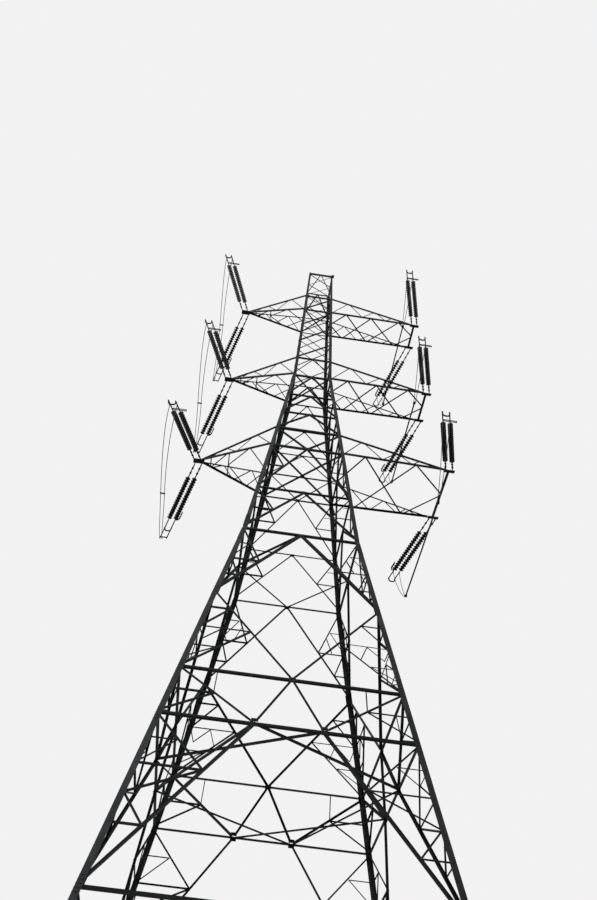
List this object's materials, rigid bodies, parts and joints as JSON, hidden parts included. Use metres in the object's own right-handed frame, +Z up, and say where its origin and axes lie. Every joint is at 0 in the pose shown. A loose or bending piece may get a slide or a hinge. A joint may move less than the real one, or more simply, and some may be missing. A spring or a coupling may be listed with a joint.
{
  "type": "lattice transmission pylon, 1:2 scale model",
  "caption": "Lattice steel angle tower for an overhead power line: square tapered body, three levels of cross arms, double disc insulator strings and jumpers.",
  "frame": {"origin": "on the tower's axis at ground level, in the plane of the foot plates' undersides", "axes": "+Z up, +X along the cross arms towards the square-ended arms, +Y along the power line"},
  "size_m": [6.394, 6.38, 22.28],
  "materials": {
    "galvanised_steel": "weathered matt zinc",
    "porcelain": "dark glaze",
    "aluminium_conductor": "dull stranded wire"
  },
  "bodies": {
    "root": {"back_base_bracing": "galvanised_steel", "back_left_lower_leg": "galvanised_steel", "back_left_middle_leg": "galvanised_steel", "back_right_lower_leg": "galvanised_steel", "back_right_middle_leg": "galvanised_steel", "back_waist_bracing": "galvanised_steel", "belt_frame": "galvanised_steel", "bottom_left_arm": "galvanised_steel", "bottom_left_back_strings": "porcelain", "bottom_left_front_strings": "porcelain", "bottom_left_jumper": "aluminium_conductor", "bottom_right_arm": "galvanised_steel", "bottom_right_back_strings": "porcelain", "bottom_right_front_strings": "porcelain", "bottom_right_jumper": "aluminium_conductor", "front_base_bracing": "galvanised_steel", "front_left_lower_leg": "galvanised_steel", "front_left_middle_leg": "galvanised_steel", "front_right_lower_leg": "galvanised_steel", "front_right_middle_leg": "galvanised_steel", "front_waist_bracing": "galvanised_steel", "left_base_bracing": "galvanised_steel", "left_waist_bracing": "galvanised_steel", "middle_bracing": "galvanised_steel", "middle_left_arm": "galvanised_steel", "middle_left_back_strings": "porcelain", "middle_left_front_strings": "porcelain", "middle_left_jumper": "aluminium_conductor", "middle_right_arm": "galvanised_steel", "middle_right_back_strings": "porcelain", "middle_right_front_strings": "porcelain", "middle_right_jumper": "aluminium_conductor", "right_base_bracing": "galvanised_steel", "right_waist_bracing": "galvanised_steel", "shoulder_frame": "galvanised_steel", "top_left_arm": "galvanised_steel", "top_left_back_strings": "porcelain", "top_left_front_strings": "porcelain", "top_left_jumper": "aluminium_conductor", "top_right_arm": "galvanised_steel", "top_right_back_strings": "porcelain", "top_right_front_strings": "porcelain", "top_right_jumper": "aluminium_conductor", "tower_head": "galvanised_steel"}
  },
  "joints": []
}
